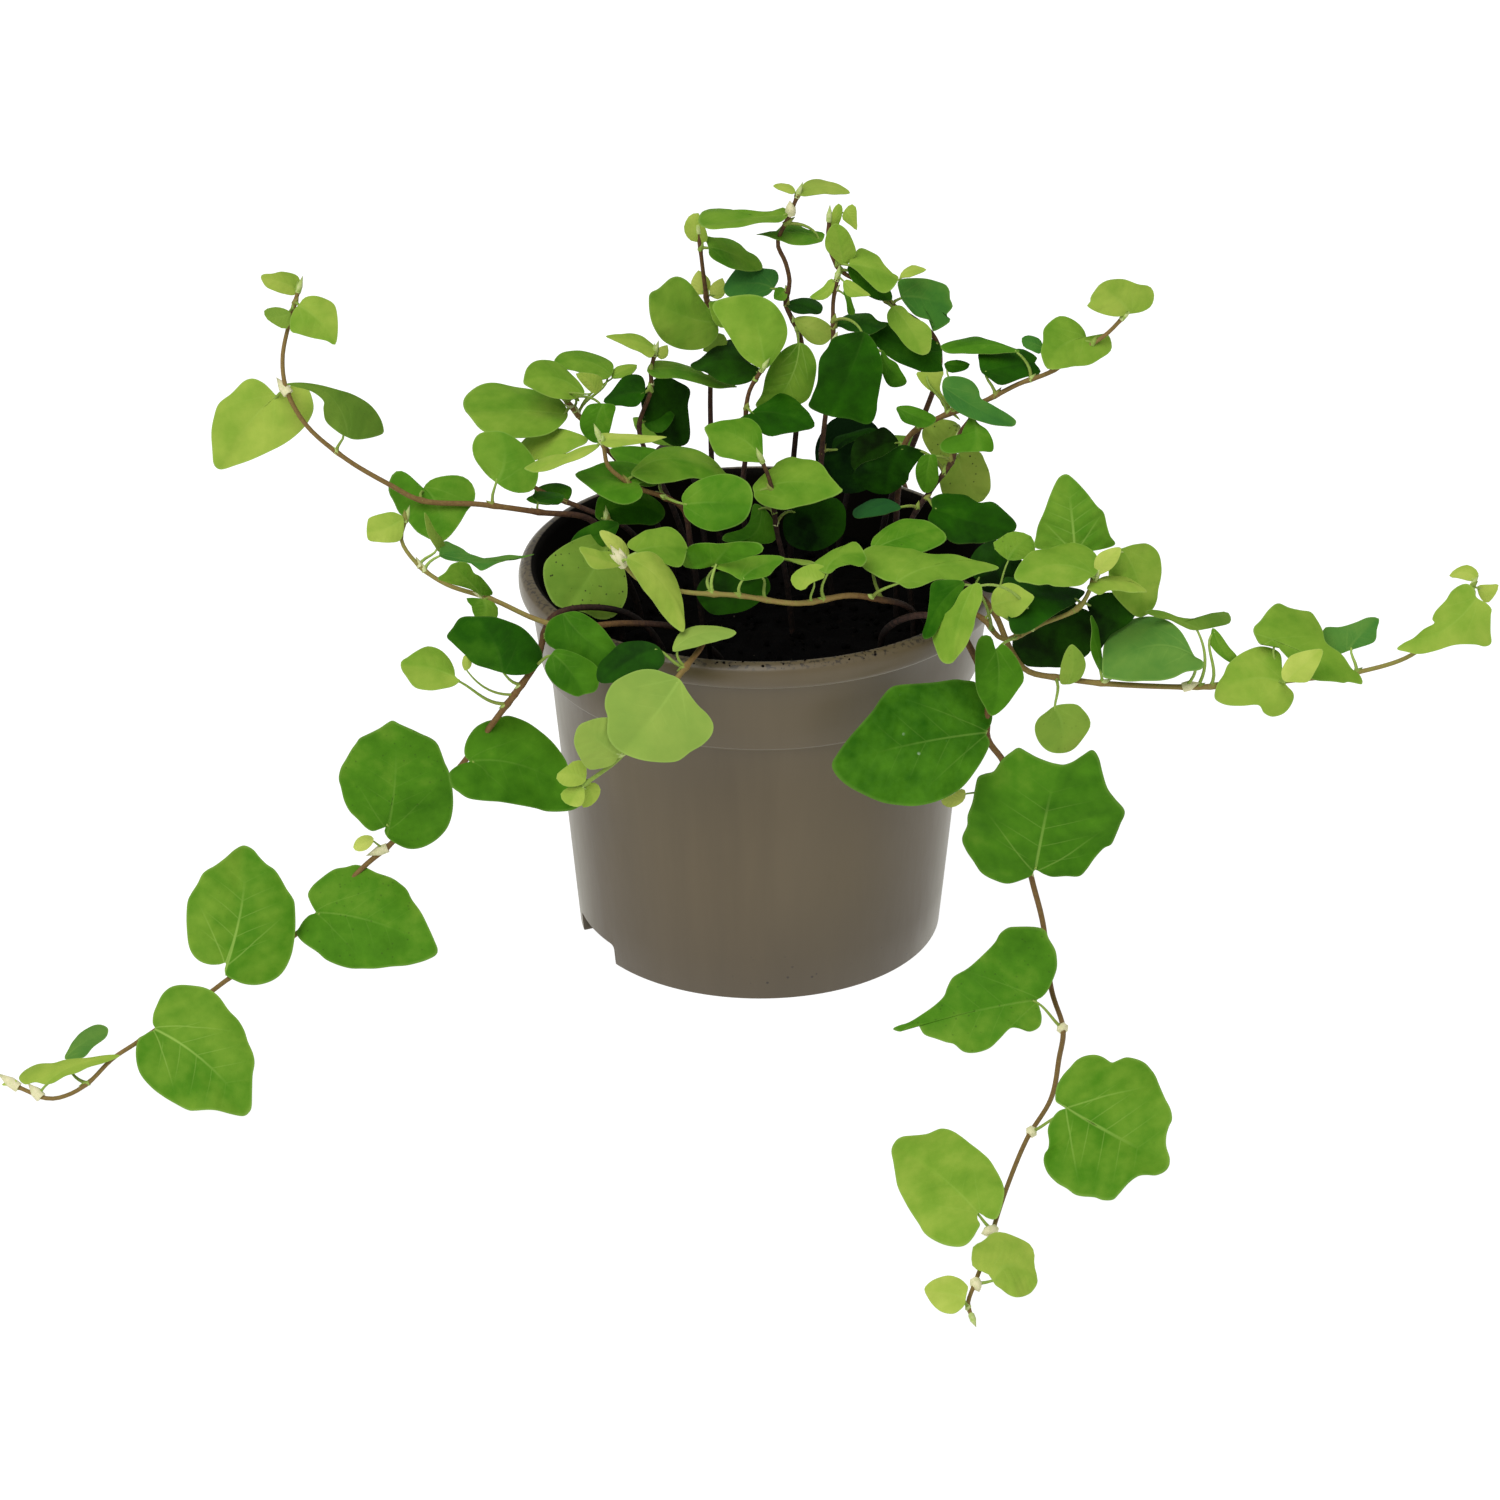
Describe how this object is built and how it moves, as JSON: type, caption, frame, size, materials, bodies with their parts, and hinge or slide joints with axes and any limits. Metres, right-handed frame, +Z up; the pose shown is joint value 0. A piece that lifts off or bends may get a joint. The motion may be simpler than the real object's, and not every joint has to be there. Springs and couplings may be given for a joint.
{
  "type": "potted creeping fig",
  "caption": "Round stepped nursery pot filled with soil, holding upright, arching and trailing leafy stems with heart-shaped leaves.",
  "frame": {"origin": "middle of the pot's underside, on the surface the pot stands on", "axes": "+Z up along the pot's axis, -Y towards the front, where one stem trails down and forward, and +X to the right seen from the front"},
  "size_m": [0.3621, 0.2875, 0.1911],
  "materials": {
    "pot_plastic": "smooth moulded taupe plastic, slightly satin",
    "soil": "moist dark potting mix",
    "foliage": "soft green leaf with a slight sheen, on thin brown stems"
  },
  "bodies": {
    "root": {"pot": "pot_plastic", "soil": "soil", "shoot_left_high": "foliage", "shoot_left_middle": "foliage", "shoot_left_trailing": "foliage", "shoot_front_hanging": "foliage", "shoot_front_across": "foliage", "shoot_left_inner": "foliage", "shoot_left_low": "foliage", "shoot_left_bushy": "foliage", "shoot_middle_left": "foliage", "shoot_left_upright": "foliage", "shoot_back_left_upright": "foliage", "shoot_top": "foliage", "shoot_middle": "foliage", "shoot_middle_tall": "foliage", "shoot_right_upright": "foliage", "shoot_right_high": "foliage", "shoot_right_low": "foliage", "shoot_middle_front": "foliage", "shoot_right_front": "foliage", "shoot_right_runner": "foliage", "shoot_right_trailing": "foliage", "shoot_back_left": "foliage", "shoot_back_right": "foliage"}
  },
  "joints": []
}
